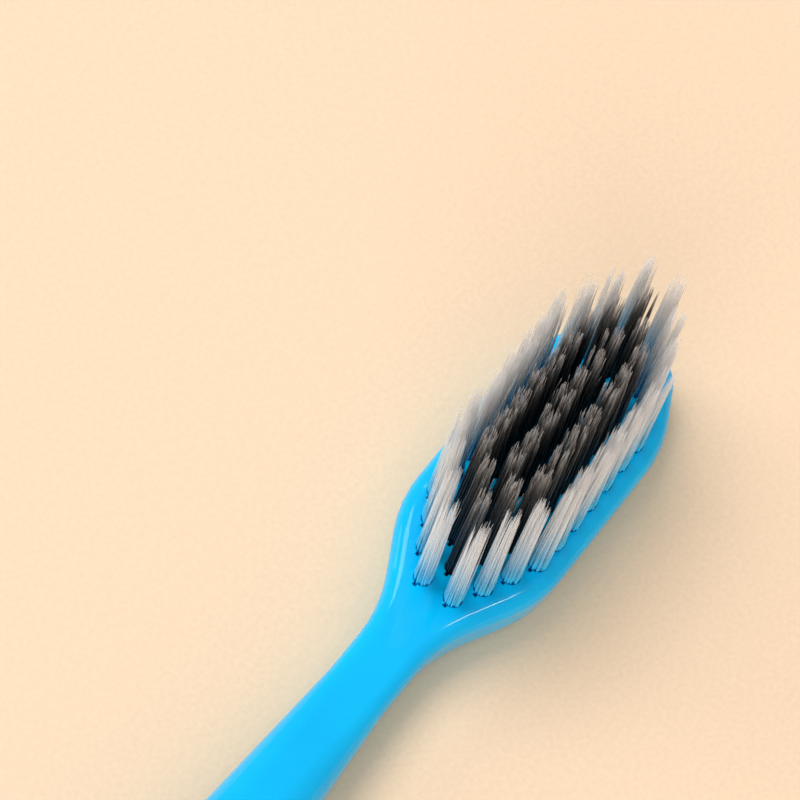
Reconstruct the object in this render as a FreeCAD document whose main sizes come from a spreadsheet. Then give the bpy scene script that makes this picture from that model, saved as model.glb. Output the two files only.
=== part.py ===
"""Manual toothbrush lying on its back, bristles up: a moulded handle and the tufts stapled into its head.

Millimetres. +Z is up, +X runs along the brush towards the tip of the head, and the origin is the middle of the
brush on the surface that it lies on. Each tuft is a bundle of filaments folded round a flat metal anchor. The
anchor is driven into a blind hole of the head, where its two ends bite into the wall of the hole.
"""

import FreeCAD, Part
import math
import os
import re

import Sketcher

# Tufts in each row, from the neck to the tip of the head
ROWS = (2, 3, 4, 5, 5, 5, 5, 5, 5, 5, 4, 3, 2)

# Spacing of the tufts across a row, by the number of tufts that the row holds
ROW_SPACING = {2: "first_row_spacing", 3: "second_row_spacing", 4: "third_row_spacing", 5: "field_spacing"}

# Stations of the handle behind the neck
STATIONS = ("throat", "shank", "thumb", "grip", "heel", "tail")

# Shares of the tail cap's length at which its sections stand
CAP_SHARES = {"shoulder": 0.45, "cheek": 0.72, "brow": 0.88, "crown": 0.97, "gate": 1.0}

# Flat sides that stand for the round of a bore and of a tuft
BORE_SIDES = 12
TUFT_SIDES = 8

# Radius of a tuft at each level above the floor of its hole
TUFT_RINGS = {"foot_level": "root_radius", "hole_depth": "root_radius", "tuft_top": "crown_radius"}

DRIVING = {
    # Tuft field
    "row_pitch": 2.13,
    "field_spacing": 2.28,
    "third_row_spacing": 2.4,
    "second_row_spacing": 2.58,
    "first_row_spacing": 2.68,
    # Holes, anchors and tufts
    "hole_diameter": 1.5,
    "hole_depth": 3.3,
    "hole_floor": 1.5,
    "hole_overrun": 0.5,
    "anchor_bite": 0.25,
    "anchor_thickness": 0.3,
    "anchor_height": 1.6,
    "anchor_angle": 10,
    "anchor_clearance": 0.01,
    "fold_thickness": 0.35,
    "tuft_clearance": 0.02,
    "tuft_length": 12.2,
    "tuft_spread": 0.1,
    # Outline and edges of the head
    "rim_wall": 1.33,
    "tip_wall": 1.45,
    "shoulder_setback": 7.15,
    "shoulder_angle": 26.6,
    "shoulder_radius": 11,
    "tip_radius": 4,
    "flare_radius": 12,
    "side_draft": 6,
    "face_round": 1.2,
    "back_round": 1.5,
    # Neck
    "neck_setback": 8.5,
    "neck_width": 5.3,
    "neck_lead": 1.5,
    "lead_rise": 0.03,
    "lead_swell": 0.08,
    # Handle: distance of each station behind the one before it, and its section there
    "throat_distance": 9,
    "throat_width": 6.12,
    "throat_thickness": 5.55,
    "throat_rise": 0.65,
    "throat_round": 2.2,
    "shank_distance": 15,
    "shank_width": 7.8,
    "shank_thickness": 6.7,
    "shank_rise": 1.0,
    "shank_round": 2.7,
    "thumb_distance": 20,
    "thumb_width": 10.0,
    "thumb_thickness": 7.7,
    "thumb_rise": 0.6,
    "thumb_round": 3.2,
    "grip_distance": 25,
    "grip_width": 11.6,
    "grip_thickness": 8.3,
    "grip_rise": 0.2,
    "grip_round": 3.5,
    "heel_distance": 30,
    "heel_width": 11.0,
    "heel_thickness": 7.9,
    "heel_rise": 0.1,
    "heel_round": 3.4,
    "tail_distance": 40,
    "tail_width": 9.0,
    "tail_thickness": 6.4,
    "tail_rise": 0.3,
    "tail_round": 2.8,
    "tail_cap": 6,
    "gate_width": 1.6,
    "gate_thickness": 1.2,
    "gate_round": 0.5,
}

DERIVED = {
    "hole_radius": "hole_diameter / 2",
    "bore_corner_radius": f"hole_radius / cos({180 / BORE_SIDES})",
    "head_thickness": "hole_floor + hole_depth",
    "head_half_width": "2 * field_spacing + hole_radius + rim_wall",
    "head_length": f"hole_radius + tip_wall + {len(ROWS) - 1} * row_pitch + neck_setback",
    "handle_length": "neck_lead + throat_distance + shank_distance + thumb_distance + grip_distance + heel_distance"
                     " + tail_distance + tail_cap",
    "rim_inset": "face_round * (tan(side_draft) + 1 / cos(side_draft) - 1)",
    "brush_length": "head_length + handle_length - rim_inset",
    "tip_x": "brush_length / 2 + rim_inset",
    "last_row_x": "tip_x - tip_wall - hole_radius",
    "first_row_x": f"last_row_x - {len(ROWS) - 1} * row_pitch",
    "side_start_x": "first_row_x + shoulder_setback",
    "side_end_x": "last_row_x - shoulder_setback",
    "tip_slope": "-shoulder_angle",
    "neck_x": "first_row_x - neck_setback",
    "side_slope": "90 - side_draft",
    "side_fall": "side_draft - 90",
    "neck_thickness": "head_thickness",
    "neck_rise": "0",
    "lead_x": "neck_x - neck_lead",
    "lead_width": "neck_width",
    "lead_thickness": "head_thickness + lead_swell",
    "throat_x": "lead_x - throat_distance",
    "shank_x": "throat_x - shank_distance",
    "thumb_x": "shank_x - thumb_distance",
    "grip_x": "thumb_x - grip_distance",
    "heel_x": "grip_x - heel_distance",
    "tail_x": "heel_x - tail_distance",
    "foot_level": "0",
    "root_radius": "hole_radius - tuft_clearance",
    "crown_radius": "root_radius + tuft_spread",
    "tuft_top": "hole_depth + tuft_length",
    "anchor_length": "hole_diameter + 2 * anchor_bite",
    "slot_length": "anchor_length + 2 * anchor_clearance",
    "slot_width": "anchor_thickness + 2 * anchor_clearance",
    "window_height": "anchor_height + anchor_clearance",
}

for part_of_cap, share in CAP_SHARES.items():
    swell = math.sqrt(1 - share ** 2)
    DERIVED[f"cap_{part_of_cap}_x"] = f"tail_x - {share} * tail_cap"
    for measure in ("width", "thickness", "round"):
        DERIVED[f"cap_{part_of_cap}_{measure}"] = f"gate_{measure} + {swell:.4f} * (tail_{measure} - gate_{measure})"
    DERIVED[f"cap_{part_of_cap}_rise"] = f"tail_rise + (tail_thickness - cap_{part_of_cap}_thickness) / 2"

for station in ("neck", "lead", *STATIONS, *(f"cap_{part_of_cap}" for part_of_cap in CAP_SHARES)):
    DERIVED[f"{station}_half_width"] = f"{station}_width / 2"

TOLERANCE = 1e-4
START, END = 1, 2
ORIGIN = (-1, START)
ACROSS = -1

doc = FreeCAD.newDocument("toothbrush")
sheet = doc.addObject("Spreadsheet::Sheet", "sizes")


def fill_sheet():
    """Write the driving sizes as numbers and the sizes that follow from them as formulas."""
    texts = {alias: str(number) for alias, number in DRIVING.items()}
    texts.update({alias: "=" + formula for alias, formula in DERIVED.items()})
    for row, (alias, text) in enumerate(texts.items(), start=1):
        sheet.set(f"A{row}", alias)
        sheet.set(f"B{row}", text)
        sheet.setAlias(f"B{row}", alias)
    doc.recompute()


def size(alias):
    """A size as a plain number."""
    return float(sheet.get(alias))


def bind(thing, field, formula):
    """Tie a property to a formula of the sheet's sizes."""
    def cell(match):
        word = match.group()
        return "sizes." + word if word in DRIVING or word in DERIVED else word
    thing.setExpression(field, re.sub("[a-z_]+", cell, formula))


def vector(x=0, y=0, z=0):
    return FreeCAD.Vector(x, y, z)


def plane(body, role):
    """One of the body's own base planes."""
    return next(feature for feature in body.Origin.OriginFeatures if feature.Role == role)


def sketch_on(body, role, name):
    """Empty sketch on one of the body's own base planes."""
    sketch = body.newObject("Sketcher::SketchObject", name)
    sketch.AttachmentSupport = [(plane(body, role), "")]
    sketch.MapMode = "FlatFace"
    return sketch


def line(sketch, start, end):
    return sketch.addGeometry(Part.LineSegment(vector(*start), vector(*end)), False)


def arc(sketch, centre, radius, first, last):
    """Arc that runs anticlockwise between two angles in degrees."""
    circle = Part.Circle(vector(*centre), vector(z=1), radius)
    return sketch.addGeometry(Part.ArcOfCircle(circle, math.radians(first), math.radians(last)), False)


def tie(sketch, kind, *where):
    sketch.addConstraint(Sketcher.Constraint(kind, *where))


def hold(sketch, kind, where, alias):
    """Dimension that follows a size of the sheet."""
    number = size(alias)
    if kind == "Angle":
        number = math.radians(number)
    index = sketch.addConstraint(Sketcher.Constraint(kind, *where, number))
    bind(sketch, f"Constraints[{index}]", alias)


def head_outline(body):
    """Half of the face's outline: the neck, its flare, the straight side and the blunt tip."""
    sketch = sketch_on(body, "XY_Plane", "head_outline")
    bind(sketch, "AttachmentOffset.Base.z", "head_thickness")
    slope = size("shoulder_angle")
    turn = math.radians(slope)
    neck_x, neck_y = size("neck_x"), size("neck_half_width")
    side_x, end_x, side_y = size("side_start_x"), size("side_end_x"), size("head_half_width")
    tip_x, shoulder, flare, tip = size("tip_x"), size("shoulder_radius"), size("flare_radius"), size("tip_radius")
    shoulder_end = (side_x - shoulder * math.sin(turn), side_y - shoulder * (1 - math.cos(turn)))
    flare_end_y = neck_y + flare * (1 - math.cos(turn))
    flare_end = (shoulder_end[0] - (shoulder_end[1] - flare_end_y) / math.tan(turn), flare_end_y)
    flare_x = flare_end[0] - flare * math.sin(turn)
    tip_shoulder_end = (end_x + shoulder * math.sin(turn), shoulder_end[1])
    tip_end_x = tip_x - tip * (1 - math.sin(turn))
    tip_end = (tip_end_x, tip_shoulder_end[1] - (tip_end_x - tip_shoulder_end[0]) * math.tan(turn))
    tip_centre = (tip_x - tip, tip_end[1] - tip * math.cos(turn))

    axis = line(sketch, (neck_x, 0), (tip_x, 0))
    neck_end = line(sketch, (neck_x, 0), (neck_x, neck_y))
    neck = line(sketch, (neck_x, neck_y), (flare_x, neck_y))
    flare_arc = arc(sketch, (flare_x, neck_y + flare), flare, -90, slope - 90)
    flank = line(sketch, flare_end, shoulder_end)
    shoulder_arc = arc(sketch, (side_x, side_y - shoulder), shoulder, 90, 90 + slope)
    side = line(sketch, (side_x, side_y), (end_x, side_y))
    tip_shoulder = arc(sketch, (end_x, side_y - shoulder), shoulder, 90 - slope, 90)
    tip_flank = line(sketch, tip_shoulder_end, tip_end)
    tip_arc = arc(sketch, tip_centre, tip, 0, 90 - slope)
    front = line(sketch, (tip_x, 0), (tip_x, tip_centre[1]))

    tie(sketch, "Coincident", axis, START, neck_end, START)
    tie(sketch, "Coincident", axis, END, front, START)
    tie(sketch, "Coincident", neck_end, END, neck, START)
    tie(sketch, "Tangent", neck, END, flare_arc, START)
    tie(sketch, "Tangent", flare_arc, END, flank, START)
    tie(sketch, "Tangent", flank, END, shoulder_arc, END)
    tie(sketch, "Tangent", shoulder_arc, START, side, START)
    tie(sketch, "Tangent", side, END, tip_shoulder, END)
    tie(sketch, "Tangent", tip_shoulder, START, tip_flank, START)
    tie(sketch, "Tangent", tip_flank, END, tip_arc, END)
    tie(sketch, "Tangent", tip_arc, START, front, END)
    tie(sketch, "PointOnObject", neck_end, START, ACROSS)
    tie(sketch, "PointOnObject", front, START, ACROSS)
    tie(sketch, "Vertical", neck_end)
    tie(sketch, "Vertical", front)
    tie(sketch, "Horizontal", neck)
    tie(sketch, "Horizontal", side)
    hold(sketch, "Angle", (flank,), "shoulder_angle")
    hold(sketch, "Angle", (tip_flank,), "tip_slope")
    hold(sketch, "Radius", (flare_arc,), "flare_radius")
    hold(sketch, "Radius", (shoulder_arc,), "shoulder_radius")
    hold(sketch, "Radius", (tip_shoulder,), "shoulder_radius")
    hold(sketch, "Radius", (tip_arc,), "tip_radius")
    hold(sketch, "DistanceX", (*ORIGIN, neck_end, START), "neck_x")
    hold(sketch, "DistanceX", (*ORIGIN, front, START), "tip_x")
    hold(sketch, "DistanceX", (*ORIGIN, side, START), "side_start_x")
    hold(sketch, "DistanceX", (*ORIGIN, side, END), "side_end_x")
    hold(sketch, "DistanceY", (*ORIGIN, neck, START), "neck_half_width")
    hold(sketch, "DistanceY", (*ORIGIN, side, START), "head_half_width")
    return sketch


def at_level(box, level):
    """Whether a box is flat and lies at a level."""
    return abs(box.ZMin - level) < TOLERANCE and abs(box.ZMax - level) < TOLERANCE


def beyond_neck(box):
    """Whether a box reaches past the plane where the neck leaves the head plate."""
    return box.XMax - size("neck_x") > TOLERANCE


def draft_sides(body, base):
    """Lean the sides of the head inwards from its face to its back."""
    faces = list(enumerate(base.Shape.Faces, start=1))
    face_level = size("head_thickness")
    sides = [f"Face{n}" for n, face in faces if face.BoundBox.ZLength > TOLERANCE and beyond_neck(face.BoundBox)]
    top = [f"Face{n}" for n, face in faces if at_level(face.BoundBox, face_level)]
    draft = body.newObject("PartDesign::Draft", "side_lean")
    draft.Base = (base, sides)
    draft.NeutralPlane = (base, top)
    draft.Reversed = True
    bind(draft, "Angle", "side_draft")
    body.Tip = draft
    doc.recompute()
    return draft


def round_rim(body, base, level, alias, name):
    """Round the head's outline at one level, without the edge across the neck."""
    edges = enumerate(base.Shape.Edges, start=1)
    fillet = body.newObject("PartDesign::Fillet", name)
    fillet.Base = (base, [f"Edge{n}" for n, edge in edges
                          if at_level(edge.BoundBox, level) and beyond_neck(edge.BoundBox)])
    bind(fillet, "Radius", alias)
    body.Tip = fillet
    doc.recompute()
    return fillet


def head_plate(body):
    """Flat plate of the head and the root of the neck, with its rim rounded at the face and at the back."""
    outline = head_outline(body)
    doc.recompute()
    half = body.newObject("PartDesign::Pad", "head_half")
    half.Profile = outline
    half.Reversed = True
    bind(half, "Length", "head_thickness")
    doc.recompute()
    whole = body.newObject("PartDesign::Mirrored", "head_whole")
    whole.Originals = [half]
    whole.MirrorPlane = (plane(body, "XZ_Plane"), [""])
    body.Tip = whole
    doc.recompute()
    leaned = draft_sides(body, whole)
    faced = round_rim(body, leaned, size("head_thickness"), "face_round", "face_rim")
    round_rim(body, faced, 0, "back_round", "back_rim")


def sharp_corner(sketch, level, side, spot):
    """Point where a level line and a side would meet without the round between them."""
    point = sketch.addGeometry(Part.Point(vector(*spot)), True)
    tie(sketch, "PointOnObject", point, START, level)
    tie(sketch, "PointOnObject", point, START, side)
    return point


def section(body, name, leaning=False):
    """Cross-section at a station: a rectangle with round corners, its sides upright or leaning as the head's do."""
    sketch = sketch_on(body, "YZ_Plane", name + "_section")
    bind(sketch, "AttachmentOffset.Base.z", name + "_x")
    face_round, back_round = ("face_round", "back_round") if leaning else (name + "_round", name + "_round")
    face, back = size(face_round), size(back_round)
    lean = size("side_draft") if leaning else 0
    turn = math.radians(lean)
    half, low, thickness = size(name + "_width") / 2, size(name + "_rise"), size(name + "_thickness")
    high = low + thickness
    face_x = half - face * (math.tan(turn) + 1 / math.cos(turn))
    back_x = half - (thickness - back) * math.tan(turn) - back / math.cos(turn)
    side_low = (back_x + back * math.cos(turn), low + back - back * math.sin(turn))
    side_high = (face_x + face * math.cos(turn), high - face - face * math.sin(turn))

    bottom = line(sketch, (-back_x, low), (back_x, low))
    bottom_right = arc(sketch, (back_x, low + back), back, -90, -lean)
    right = line(sketch, side_low, side_high)
    top_right = arc(sketch, (face_x, high - face), face, -lean, 90)
    top = line(sketch, (face_x, high), (-face_x, high))
    top_left = arc(sketch, (-face_x, high - face), face, 90, 180 + lean)
    left = line(sketch, (-side_high[0], side_high[1]), (-side_low[0], side_low[1]))
    bottom_left = arc(sketch, (-back_x, low + back), back, 180 + lean, 270)
    right_corner = sharp_corner(sketch, top, right, (half, high))
    left_corner = sharp_corner(sketch, top, left, (-half, high))

    loop = (bottom, bottom_right, right, top_right, top, top_left, left, bottom_left)
    for this, following in zip(loop, loop[1:] + loop[:1]):
        tie(sketch, "Tangent", this, END, following, START)
    tie(sketch, "Horizontal", bottom)
    tie(sketch, "Horizontal", top)
    if leaning:
        hold(sketch, "Angle", (right,), "side_slope")
        hold(sketch, "Angle", (left,), "side_fall")
    else:
        tie(sketch, "Vertical", right)
        tie(sketch, "Vertical", left)
    hold(sketch, "DistanceX", (left_corner, START, right_corner, START), name + "_width")
    hold(sketch, "DistanceX", (*ORIGIN, right_corner, START), name + "_half_width")
    hold(sketch, "DistanceY", (*ORIGIN, bottom, START), name + "_rise")
    hold(sketch, "DistanceY", (bottom, START, top, START), name + "_thickness")
    for corner, alias in zip(loop[1::2], (back_round, face_round, face_round, back_round)):
        hold(sketch, "Radius", (corner,), alias)
    return sketch


def run_through(name, sections):
    """Solid that runs straight from each section of a row to the next."""
    run = doc.addObject("Part::Loft", name)
    run.Sections = sections
    run.Solid = True
    run.Ruled = True
    return run


def moulding():
    """Handle before its holes: the head plate, the run of the neck and grip, and the rounded tail."""
    body = doc.addObject("PartDesign::Body", "head")
    head_plate(body)
    neck = [section(body, name, leaning=True) for name in ("neck", "lead")]
    stations = [section(body, name) for name in STATIONS]
    cap = [section(body, "cap_" + name) for name in CAP_SHARES]
    whole = doc.addObject("Part::MultiFuse", "moulding")
    whole.Shapes = [body, run_through("grip_run", neck + stations), run_through("tail_run", stations[-1:] + cap)]
    return whole


def plate(name, length, thickness, low, height):
    """Upright flat plate that stands across a hole, with its place measured from the hole's floor."""
    blank = doc.addObject("Part::Box", name)
    bind(blank, "Length", length)
    bind(blank, "Width", thickness)
    bind(blank, "Height", height)
    bind(blank, "Placement.Base.x", f"-{length} / 2")
    bind(blank, "Placement.Base.y", f"-{thickness} / 2")
    bind(blank, "Placement.Base.z", low)
    return blank


def ring(level, radius):
    """Many-sided outline of a tuft at a level above the floor of its hole."""
    outline = doc.addObject("Part::RegularPolygon", "ring_at_" + level)
    outline.Polygon = TUFT_SIDES
    bind(outline, "Circumradius", radius)
    bind(outline, "Placement.Base.z", level)
    return outline


def tuft_blank():
    """Tuft on its own hole floor: the straight root in the hole and the filaments that spread to a flat trim."""
    bundle = run_through("bundle", [ring(level, radius) for level, radius in TUFT_RINGS.items()])
    tuft = doc.addObject("Part::Cut", "tuft_blank")
    tuft.Base = bundle
    tuft.Tool = plate("anchor_window", "slot_length", "slot_width", "fold_thickness", "window_height")
    return tuft


def hole_blank():
    """Space of one hole: the bore and the slot that the ends of its anchor cut from the face down."""
    bore = doc.addObject("Part::Prism", "bore")
    bore.Polygon = BORE_SIDES
    bind(bore, "Circumradius", "bore_corner_radius")
    bind(bore, "Height", "hole_depth + hole_overrun")
    slot = plate("slot", "slot_length", "slot_width", "fold_thickness", "hole_depth + hole_overrun - fold_thickness")
    space = doc.addObject("Part::Fuse", "hole_blank")
    space.Base = bore
    space.Tool = slot
    return space


def stand(blank, name, row, place):
    """Copy of a blank in one hole of the head, turned to the anchors' angle."""
    spacing = ROW_SPACING[ROWS[row]]
    copy = doc.addObject("Part::Compound", name)
    copy.Links = [blank]
    copy.Placement = FreeCAD.Placement(vector(), FreeCAD.Rotation(vector(z=-1), size("anchor_angle")))
    bind(copy, "Placement.Rotation.Angle", "anchor_angle")
    bind(copy, "Placement.Base.x", f"first_row_x + {row} * row_pitch")
    bind(copy, "Placement.Base.y", f"{place - (ROWS[row] - 1) / 2} * {spacing}")
    bind(copy, "Placement.Base.z", "hole_floor")
    return copy


def group(name, copies):
    whole = doc.addObject("Part::Compound", name)
    whole.Links = copies
    return whole


def build():
    """All pieces of the brush: the handle, the tufts one by one, and the anchors as a set."""
    body = moulding()
    tuft = tuft_blank()
    hole = hole_blank()
    anchor = plate("anchor_blank", "anchor_length", "anchor_thickness", "fold_thickness", "anchor_height")
    places = [(row, place) for row, count in enumerate(ROWS) for place in range(count)]
    edge_places = [(row, place) for row, place in places if place in (0, ROWS[row] - 1)]
    inner_places = [spot for spot in places if spot not in edge_places]

    handle = doc.addObject("Part::Cut", "handle")
    handle.Base = body
    handle.Tool = group("holes", [stand(hole, f"hole_{row}_{place}", row, place) for row, place in places])
    anchors = group("anchors", [stand(anchor, f"anchor_{row}_{place}", row, place) for row, place in places])
    outer = [stand(tuft, f"outer_tuft_{n:02}", *spot) for n, spot in enumerate(edge_places, start=1)]
    inner = [stand(tuft, f"inner_tuft_{n:02}", *spot) for n, spot in enumerate(inner_places, start=1)]
    doc.recompute()
    return [handle, anchors] + outer + inner


def check(pieces):
    """Stop at a feature that failed or a piece that is not sound."""
    for thing in doc.Objects:
        if "Invalid" in thing.State or "Error" in thing.State:
            raise RuntimeError(f"{thing.Name} failed: {thing.State}")
    for piece in pieces:
        if piece.Shape.isNull() or not piece.Shape.isValid() or not piece.Shape.Solids:
            raise RuntimeError(f"{piece.Label} is not a sound solid")


fill_sheet()
pieces = build()
check(pieces)
os.makedirs("parts", exist_ok=True)
for piece in pieces:
    piece.Shape.exportStep(f"parts/{piece.Label}.step")
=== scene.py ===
"""Looks of the manual toothbrush: a glossy blue moulding, and tufts of tapered filaments in two tones.

Lengths in this script are metres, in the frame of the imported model: +X runs to the tip of the head and +Z is up.
"""

import math
import random

import bmesh
import bpy
from mathutils import Matrix, Vector


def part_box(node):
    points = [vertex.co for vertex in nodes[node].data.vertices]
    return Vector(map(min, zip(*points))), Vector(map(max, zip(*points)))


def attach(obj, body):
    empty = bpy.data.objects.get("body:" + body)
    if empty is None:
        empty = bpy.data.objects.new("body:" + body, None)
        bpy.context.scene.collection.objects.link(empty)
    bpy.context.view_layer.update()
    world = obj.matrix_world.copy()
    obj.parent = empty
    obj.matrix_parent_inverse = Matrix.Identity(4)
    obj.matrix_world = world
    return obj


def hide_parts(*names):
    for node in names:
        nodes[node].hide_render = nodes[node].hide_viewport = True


MM = 0.001

# Camera: the point at the middle of the picture, and the direction to the camera in degrees, AZIMUTH from -Y towards +X
TARGET = Vector((74.5, 10.98, 4.8)) * MM
AZIMUTH, ELEVATION, ROLL = -72.4, 60.0, 19.9
DISTANCE = 368.0 * MM
LENS, SENSOR = 225.0, 36.0
CLIP_START = 10.0 * MM

# One filament: the heights of its rings and the start of its taper are shares of its length
FILAMENT_RADIUS = 0.088 * MM
TIP_RADIUS = 0.012 * MM
FILAMENT_SIDES = 4
ANCHOR_RING = 0.155
RINGS = (0.0, ANCHOR_RING, 0.19, 0.215, 0.235, 0.36, 0.52, 0.68, 0.82, 0.92, 1.0)
TAPER_START = 0.22

# Bundle in its hole: filaments fill a circle that fits the bore, and spill a little over its rim
FILAMENTS = 84
HOLE_DEPTH = 3.3 * MM
BUNDLE_RADIUS = 0.745 * MM
ROOT_RADIUS = BUNDLE_RADIUS - FILAMENT_RADIUS
GOLDEN_TURN = math.pi * (3 - math.sqrt(5))
TURN_JITTER = 0.2
RIM_SPILL = 0.05
SPILL_HEIGHT = 0.3 * MM

# Free ends: they gather in clumps, wander, stray and lean out of the field. TIP_SCATTER is the most that an end can be
# short of the trim at a tuft's edge, and CORE_SCATTER is the share of it at the tuft's middle
CLUMPS = 4
CLUMP_PULL = 0.45
WANDER = 0.05 * MM
CURL = 0.04 * MM
SWING_POWER = 1.3
STRAY_SHARE = 0.035
STRAY_REACH = 0.35 * MM
SPLAY_RIGHT, SPLAY_LEFT, SPLAY_ENDS = 0.45 * MM, 0.16 * MM, 0.15 * MM
TIP_SCATTER = 2.6 * MM
SCATTER_POWER = 1.6
CORE_SCATTER = 0.55

# Anchor across the middle of each hole: filaments stand beside it up to ANCHOR_RING, which is just over its top
ANCHOR_TURN = math.radians(-10)
ANCHOR_LINE = Vector((math.cos(ANCHOR_TURN), math.sin(ANCHOR_TURN), 0.0))
ANCHOR_NORMAL = Vector((-math.sin(ANCHOR_TURN), math.cos(ANCHOR_TURN), 0.0))
ANCHOR_THICKNESS = 0.3 * MM
ANCHOR_GAP = 0.005 * MM

# Handle: neck and grip lie behind RUN_START, and shade smoothly over bends below CREASE where corners meet within WELD
RUN_START = 55.25 * MM
CREASE = math.radians(40)
WELD = 0.002 * MM

# Filament tones, as (share of the length, colour). Pale nylon is painted with blue light from the head at its foot.
# It is opaque up to SOLID_BELOW, and from CLEAR_ABOVE on it covers only WHITE_COVER of what lies behind it
WHITE_TONES_WITH_PAINTED_BLUE_LIGHT = [(0.22, (0.03, 0.72, 1.0)), (0.31, (0.26, 0.79, 1.0)), (0.46, (0.70, 0.90, 1.0)),
               (0.64, (0.96, 0.98, 1.0)), (1.0, (0.995, 0.985, 0.975))]
# Dark nylon is painted lighter towards its tips: a painted highlight for light scattered in the thin ends
DARK_TONES_WITH_PAINTED_TIP_LIGHT = [(0.2, (0.006, 0.009, 0.011)), (0.6, (0.030, 0.032, 0.034)),
              (0.86, (0.12, 0.117, 0.113)), (1.0, (0.50, 0.46, 0.43))]
WHITE_COVER = 0.33
SOLID_BELOW, CLEAR_ABOVE = 0.23, 0.34

FLOOR_REACH = 3.0
FLOOR_COLOUR = (0.94, 0.715, 0.50)
FLOOR_DIMMING = 0.95

# Lamps: bearing from +X towards +Y and height in degrees, distance and width in metres, power in watts
LAMPS = {
    "key": {"azimuth": 84, "elevation": 62, "distance": 1.2, "width": 0.8, "power": 8.0},
    "rim": {"azimuth": 104, "elevation": 16, "distance": 1.4, "width": 0.9, "power": 4.2},
    "fill": {"azimuth": 196, "elevation": 22, "distance": 1.4, "width": 1.2, "power": 9.0},
    "spark": {"azimuth": -45, "elevation": 67, "distance": 1.2, "width": 0.1, "power": 0.6},
}
WORLD_COLOUR = (1.0, 0.95, 0.93, 1.0)
WORLD_STRENGTH = 0.45

# Light paths: enough for light to work its way through a bundle of see-through filaments
LIGHT_BOUNCES, DIFFUSE_BOUNCES, CLEAR_BOUNCES = 24, 16, 128

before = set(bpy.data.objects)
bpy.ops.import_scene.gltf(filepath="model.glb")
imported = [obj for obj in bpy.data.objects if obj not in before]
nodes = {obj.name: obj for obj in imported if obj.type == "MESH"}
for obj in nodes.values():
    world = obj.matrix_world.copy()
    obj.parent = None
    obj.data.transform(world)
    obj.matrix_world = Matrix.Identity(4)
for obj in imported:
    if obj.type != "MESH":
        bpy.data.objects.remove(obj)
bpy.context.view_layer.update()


def new_object(name, data):
    thing = bpy.data.objects.new(name, data)
    bpy.context.scene.collection.objects.link(thing)
    return thing


def grey(value):
    return (value, value, value)


class Shader:
    """Node tree of one material, with its surface shader at hand."""

    def __init__(self, name, **values):
        self.material = bpy.data.materials.new(name)
        self.material.use_nodes = True
        self.tree = self.material.node_tree
        self.surface = self.tree.nodes["Principled BSDF"]
        for socket, value in values.items():
            self.surface.inputs[socket.replace("_", " ")].default_value = value

    def add(self, kind, **settings):
        """Node with attributes, and with input values given under the sockets' names."""
        node = self.tree.nodes.new(kind)
        for key, value in settings.items():
            if hasattr(node, key):
                setattr(node, key, value)
            else:
                node.inputs[key.replace("_", " ")].default_value = value
        return node

    def link(self, source, target):
        self.tree.links.new(source, target)

    def ramp(self, source, stops, target):
        """Colours along a factor, from a list of (place, colour)."""
        node = self.add("ShaderNodeValToRGB")
        keys = node.color_ramp.elements
        while len(keys) < len(stops):
            keys.new(0.5)
        for key, (place, colour) in zip(keys, stops):
            key.position = place
            key.color = (*colour, 1.0)
        self.link(source, node.inputs["Fac"])
        self.link(node.outputs["Color"], target)

    def feed(self, socket, source, stops):
        """Ramp into an input of the surface shader."""
        self.ramp(source, stops, self.surface.inputs[socket])

    def noise(self, coordinates, scale, detail):
        node = self.add("ShaderNodeTexNoise", Scale=scale, Detail=detail)
        self.link(coordinates, node.inputs["Vector"])
        return node.outputs["Fac"]

    def bump(self, height, strength, distance):
        node = self.add("ShaderNodeBump", Strength=strength, Distance=distance)
        self.link(height, node.inputs["Height"])
        self.link(node.outputs["Normal"], self.surface.inputs["Normal"])

    def place(self):
        """Coordinates fixed to the object, in metres."""
        return self.add("ShaderNodeTexCoord").outputs["Object"]


def moulded_plastic():
    """Glossy dyed plastic: slightly cloudy colour, faint sink ripples and fine handling marks in the gloss."""
    shader = Shader("blue_plastic", IOR=1.49, Specular_IOR_Level=0.27, Subsurface_Weight=0.2,
                    Subsurface_Scale=1.2 * MM, Subsurface_Radius=(0.2, 0.7, 1.0))
    place = shader.place()
    cloud = shader.noise(place, scale=160.0, detail=3.0)
    shader.feed("Base Color", cloud, [(0.3, (0.0, 0.49, 0.93)), (0.7, (0.0, 0.53, 0.97))])
    marks = shader.noise(place, scale=900.0, detail=6.0)
    shader.feed("Roughness", marks, [(0.35, grey(0.05)), (0.75, grey(0.10))])
    ripple = shader.noise(place, scale=240.0, detail=1.0)
    shader.bump(ripple, strength=0.12, distance=0.05 * MM)
    return shader.material


def filament_nylon(name, tones, roughness, darkest, cover=None):
    """Drawn filament: its tone runs from the hole to the tip, with painted light in it, and each filament is a little
    lighter or darker.

    With a cover, the nylon is see-through above the rim of the hole.
    """
    shader = Shader(name, Roughness=roughness, IOR=1.53)
    along = shader.add("ShaderNodeAttribute", attribute_name="along").outputs["Fac"]
    shade = shader.add("ShaderNodeAttribute", attribute_name="shade").outputs["Fac"]
    mix = shader.add("ShaderNodeMix", data_type="RGBA", blend_type="MULTIPLY")
    mix.inputs["Factor"].default_value = 1.0
    colours = {socket.name: socket for socket in mix.inputs if socket.type == "RGBA"}
    # Tone along the filament, with painted light: blue from the head at the foot of pale nylon, lighter tips on dark
    # nylon
    shader.ramp(along, tones, colours["A"])
    if cover:
        shader.feed("Alpha", along, [(SOLID_BELOW, grey(1.0)), (CLEAR_ABOVE, grey(cover))])
    shader.ramp(shade, [(0.0, grey(darkest)), (1.0, grey(1.0))], colours["B"])
    result = next(socket for socket in mix.outputs if socket.type == "RGBA")
    shader.link(result, shader.surface.inputs["Base Color"])
    return shader.material


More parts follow.
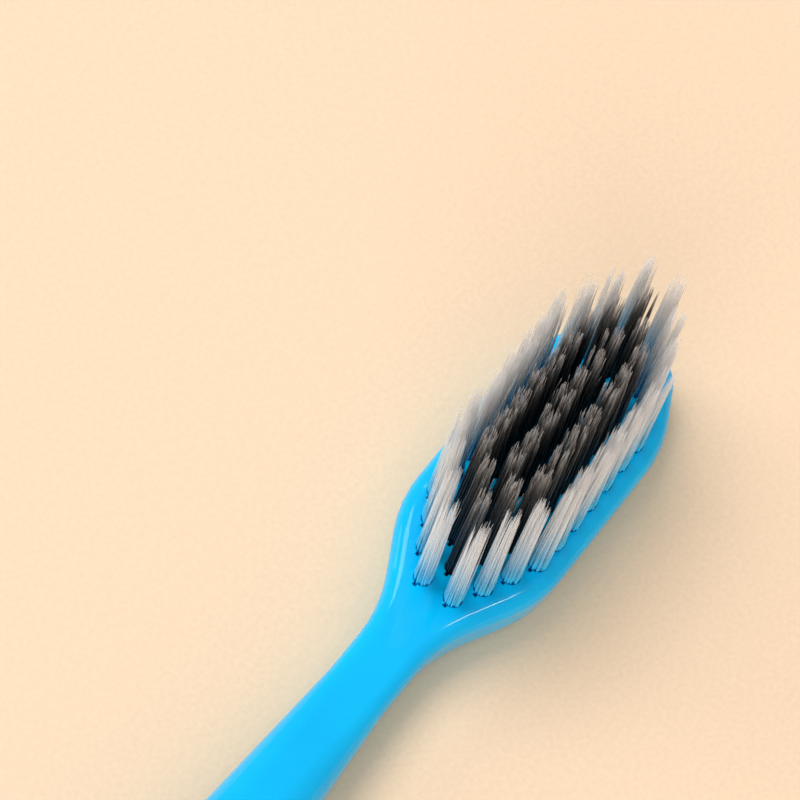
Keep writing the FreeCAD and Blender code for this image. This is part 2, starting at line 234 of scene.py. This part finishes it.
def anchor_brass():
    """Stamped brass strip with a dull rolled grain."""
    shader = Shader("anchor_brass", Metallic=1.0)
    grain = shader.noise(shader.place(), scale=3000.0, detail=4.0)
    shader.feed("Base Color", grain, [(0.3, (0.55, 0.38, 0.13)), (0.7, (0.72, 0.53, 0.22))])
    shader.feed("Roughness", grain, [(0.3, grey(0.28)), (0.7, grey(0.42))])
    return shader.material


def paper_floor():
    """Pale matt card with a fine grain."""
    shader = Shader("pale_card", Roughness=0.9, Specular_IOR_Level=0.1)
    place = shader.place()
    mottle = shader.noise(place, scale=2500.0, detail=5.0)
    dim = tuple(channel * FLOOR_DIMMING for channel in FLOOR_COLOUR)
    shader.feed("Base Color", mottle, [(0.35, dim), (0.65, FLOOR_COLOUR)])
    grain = shader.noise(place, scale=2200.0, detail=3.0)
    shader.bump(grain, strength=0.3, distance=0.06 * MM)
    return shader.material


def tuft_lean(centre, field):
    """How far the tips of a tuft lean out of the field: most at its edges, and to the sides more than to the ends."""
    lowest, highest = field
    across = (centre.y - (lowest.y + highest.y) / 2) / ((highest.y - lowest.y) / 2)
    along = (centre.x - (lowest.x + highest.x) / 2) / ((highest.x - lowest.x) / 2)
    side = SPLAY_LEFT if across > 0 else SPLAY_RIGHT
    return Vector((SPLAY_ENDS * along ** 3, side * across * abs(across), 0.0))


def beside_anchor(offset):
    """Place of a filament low in its hole, moved off the anchor and kept within the bundle's round."""
    along, across = offset.dot(ANCHOR_LINE), offset.dot(ANCHOR_NORMAL)
    clear = ANCHOR_THICKNESS / 2 + FILAMENT_RADIUS + ANCHOR_GAP
    across = math.copysign(clear + abs(across) * (1 - clear / ROOT_RADIUS), across)
    reach = math.sqrt(ROOT_RADIUS ** 2 - across ** 2)
    return ANCHOR_LINE * max(-reach, min(reach, along)) + ANCHOR_NORMAL * across


def filament_path(axis, foot, tip, bend):
    """Points along a filament: beside the anchor, up the hole, spilling over its rim, then swinging out to the tip."""
    points = []
    for ring in RINGS:
        height = (tip.z - foot.z) * ring
        above = max(0.0, height - HOLE_DEPTH)
        free = above / (tip.z - foot.z - HOLE_DEPTH)
        spill = (foot - axis) * RIM_SPILL * min(1.0, above / SPILL_HEIGHT)
        swing = (tip - foot) * free ** SWING_POWER + bend * math.sin(math.pi * free)
        start = foot if ring > ANCHOR_RING else axis + beside_anchor(foot - axis)
        points.append(Vector((start.x + spill.x + swing.x, start.y + spill.y + swing.y, foot.z + height)))
    return points


def filament_radius(ring):
    taper = max(0.0, (ring - TAPER_START) / (1.0 - TAPER_START))
    return FILAMENT_RADIUS + (TIP_RADIUS - FILAMENT_RADIUS) * taper


def add_filament(mesh, path, shade, layers):
    """Closed tapered tube along a path, with its place along the filament and its own shade on each vertex."""
    along_layer, shade_layer = layers
    rings = []
    for height, point in zip(RINGS, path):
        radius = filament_radius(height)
        ring = []
        for side in range(FILAMENT_SIDES):
            turn = math.tau * side / FILAMENT_SIDES
            vertex = mesh.verts.new(point + Vector((radius * math.cos(turn), radius * math.sin(turn), 0.0)))
            vertex[along_layer] = height
            vertex[shade_layer] = shade
            ring.append(vertex)
        rings.append(ring)
    for lower, upper in zip(rings, rings[1:]):
        for side in range(FILAMENT_SIDES):
            following = (side + 1) % FILAMENT_SIDES
            mesh.faces.new((lower[side], lower[following], upper[following], upper[side]))
    mesh.faces.new(rings[-1])
    mesh.faces.new(list(reversed(rings[0])))


def bristle_tuft(node, field, seed):
    """Mesh of all filaments of one tuft, packed in its hole as seeds are in a sunflower."""
    lowest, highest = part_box(node)
    centre = (lowest + highest) / 2
    axis = Vector((centre.x, centre.y, lowest.z))
    chance = random.Random(seed)
    mesh = bmesh.new()
    layers = [mesh.verts.layers.float.new(name) for name in ("along", "shade")]

    def drift(spread):
        return Vector((chance.gauss(0, spread), chance.gauss(0, spread), 0.0))

    def clump_spot():
        return Vector((chance.uniform(-ROOT_RADIUS, ROOT_RADIUS), chance.uniform(-ROOT_RADIUS, ROOT_RADIUS), 0.0))

    lean = tuft_lean(centre, field) + drift(WANDER)
    clumps = [clump_spot() for clump in range(CLUMPS)]
    for n in range(FILAMENTS):
        reach = ROOT_RADIUS * math.sqrt((n + 0.5) / FILAMENTS)
        turn = n * GOLDEN_TURN + chance.uniform(-TURN_JITTER, TURN_JITTER)
        offset = Vector((reach * math.cos(turn), reach * math.sin(turn), 0.0))
        foot = axis + offset
        stray = STRAY_REACH if chance.random() < STRAY_SHARE else 0.0
        scatter = drift(WANDER + stray)
        openness = CORE_SCATTER + (1 - CORE_SCATTER) * reach / ROOT_RADIUS
        short = TIP_SCATTER * chance.random() ** SCATTER_POWER * openness
        clump = min(clumps, key=lambda middle: (middle - offset).length)
        tip = foot + (clump - offset) * CLUMP_PULL + lean + scatter
        tip.z = highest.z - short
        bend = drift(CURL)
        add_filament(mesh, filament_path(axis, foot, tip, bend), chance.random(), layers)
    mesh.normal_update()
    data = bpy.data.meshes.new(node + "_filaments")
    mesh.to_mesh(data)
    mesh.free()
    data.shade_smooth()
    return data


def dress_tufts():
    """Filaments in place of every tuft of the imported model."""
    white = filament_nylon("white_filament", WHITE_TONES_WITH_PAINTED_BLUE_LIGHT, roughness=0.35, darkest=0.97, cover=WHITE_COVER)
    dark = filament_nylon("dark_filament", DARK_TONES_WITH_PAINTED_TIP_LIGHT, roughness=0.36, darkest=0.7)
    names = sorted(name for name in nodes if "_tuft_" in name)
    boxes = [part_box(name) for name in names]
    field = (Vector([min(box[0][axis] for box in boxes) for axis in range(3)]),
             Vector([max(box[1][axis] for box in boxes) for axis in range(3)]))
    for seed, name in enumerate(names):
        tuft = new_object(name.replace("tuft", "bristles"), bristle_tuft(name, field, seed))
        outer = name.startswith("outer")
        tuft.data.materials.append(white if outer else dark)
        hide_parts(name)
        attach(tuft, "root")


def soften_run():
    """Even out the shading across the bands of the neck and grip, and leave the flat face and its holes crisp."""
    mesh = nodes["handle"].data
    normals = [corner.vector.copy() for corner in mesh.corner_normals]
    meeting = {}
    for loop in mesh.loops:
        spot = mesh.vertices[loop.vertex_index].co
        if spot.x < RUN_START:
            meeting.setdefault(tuple(round(value / WELD) for value in spot), []).append(loop.index)
    evened = list(normals)
    for corners in meeting.values():
        for corner in corners:
            near = [normals[other] for other in corners if normals[other].angle(normals[corner], 0.0) < CREASE]
            evened[corner] = sum(near, Vector()).normalized()
    mesh.normals_split_custom_set(evened)


def paint(node, material):
    nodes[node].data.materials.clear()
    nodes[node].data.materials.append(material)


def lay_floor():
    mesh = bpy.data.meshes.new("floor")
    reach = FLOOR_REACH
    corners = [(-reach, -reach, 0), (reach, -reach, 0), (reach, reach, 0), (-reach, reach, 0)]
    mesh.from_pydata(corners, [], [(0, 1, 2, 3)])
    floor = new_object("floor", mesh)
    floor.data.materials.append(paper_floor())


def area_light(name, azimuth, elevation, distance, width, power):
    """Soft round lamp that looks at the head."""
    lamp = bpy.data.lights.new(name, "AREA")
    lamp.shape = "DISK"
    lamp.size = width
    lamp.energy = power
    light = new_object(name, lamp)
    turn, rise = math.radians(azimuth), math.radians(elevation)
    towards = Vector((math.cos(turn) * math.cos(rise), math.sin(turn) * math.cos(rise), math.sin(rise)))
    light.location = TARGET + towards * distance
    light.rotation_euler = towards.to_track_quat("Z", "Y").to_euler()


def light_studio():
    for name, setting in LAMPS.items():
        area_light(name, **setting)
    world = bpy.data.worlds.new("studio")
    bpy.context.scene.world = world
    world.use_nodes = True
    background = world.node_tree.nodes["Background"]
    background.inputs["Color"].default_value = WORLD_COLOUR
    background.inputs["Strength"].default_value = WORLD_STRENGTH


def place_camera():
    camera = new_object("camera", bpy.data.cameras.new("camera"))
    camera.data.lens = LENS
    camera.data.sensor_width = SENSOR
    camera.data.clip_start = CLIP_START
    turn, rise, roll = math.radians(AZIMUTH), math.radians(ELEVATION), math.radians(ROLL)
    back = Vector((math.sin(turn) * math.cos(rise), -math.cos(turn) * math.cos(rise), math.sin(rise)))
    level = Vector((math.cos(turn), math.sin(turn), 0.0))
    right = level * math.cos(roll) + back.cross(level) * math.sin(roll)
    axes = Matrix((right, back.cross(right), back)).transposed().to_4x4()
    camera.matrix_world = Matrix.Translation(TARGET + back * DISTANCE) @ axes
    bpy.context.scene.camera = camera


def set_rendering():
    scene = bpy.context.scene
    scene.view_settings.view_transform = "Standard"
    scene.cycles.max_bounces = LIGHT_BOUNCES
    scene.cycles.diffuse_bounces = DIFFUSE_BOUNCES
    scene.cycles.transparent_max_bounces = CLEAR_BOUNCES


paint("handle", moulded_plastic())
soften_run()
paint("anchors", anchor_brass())
dress_tufts()
lay_floor()
light_studio()
place_camera()
set_rendering()
